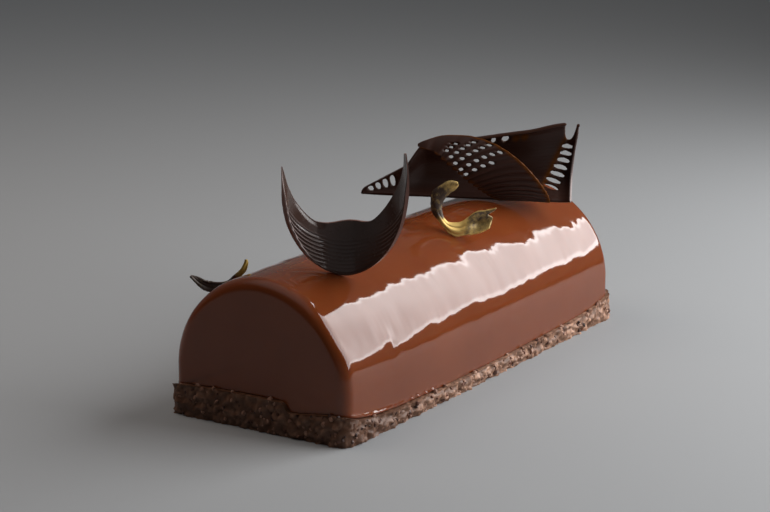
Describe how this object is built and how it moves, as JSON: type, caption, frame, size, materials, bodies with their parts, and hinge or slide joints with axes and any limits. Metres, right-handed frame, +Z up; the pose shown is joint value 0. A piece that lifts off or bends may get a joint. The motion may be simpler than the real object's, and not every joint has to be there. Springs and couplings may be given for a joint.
{
  "type": "chocolate entremet",
  "caption": "Arched log cake in milk chocolate mirror glaze on a crisp crumb base, topped with a combed crescent, a lattice curl and gold-dusted leaf curls.",
  "frame": {"origin": "middle of the base's flat underside", "axes": "+X along the log away from the near end, +Y to the far long side, +Z up"},
  "size_m": [0.2178, 0.0942, 0.1069],
  "materials": {
    "crisp_chocolate": "matte crumb of nuts and flakes bound in milk chocolate",
    "milk_chocolate_glaze": "mirror-gloss milk chocolate glaze",
    "dark_chocolate": "satin tempered dark chocolate with comb ridges",
    "dark_chocolate_lattice": "satin tempered dark chocolate, slightly translucent at thin edges",
    "gold_dusted_chocolate": "chocolate leaf brushed with gold powder",
    "gold_dusted_chocolate_back": "chocolate leaf brushed with gold powder"
  },
  "bodies": {
    "root": {"crisp_base": "crisp_chocolate", "glazed_log": "milk_chocolate_glaze", "comb_crescent": "dark_chocolate", "lattice_curl": "dark_chocolate_lattice", "gold_feather_top": "gold_dusted_chocolate", "gold_feather_back": "gold_dusted_chocolate_back"}
  },
  "joints": []
}
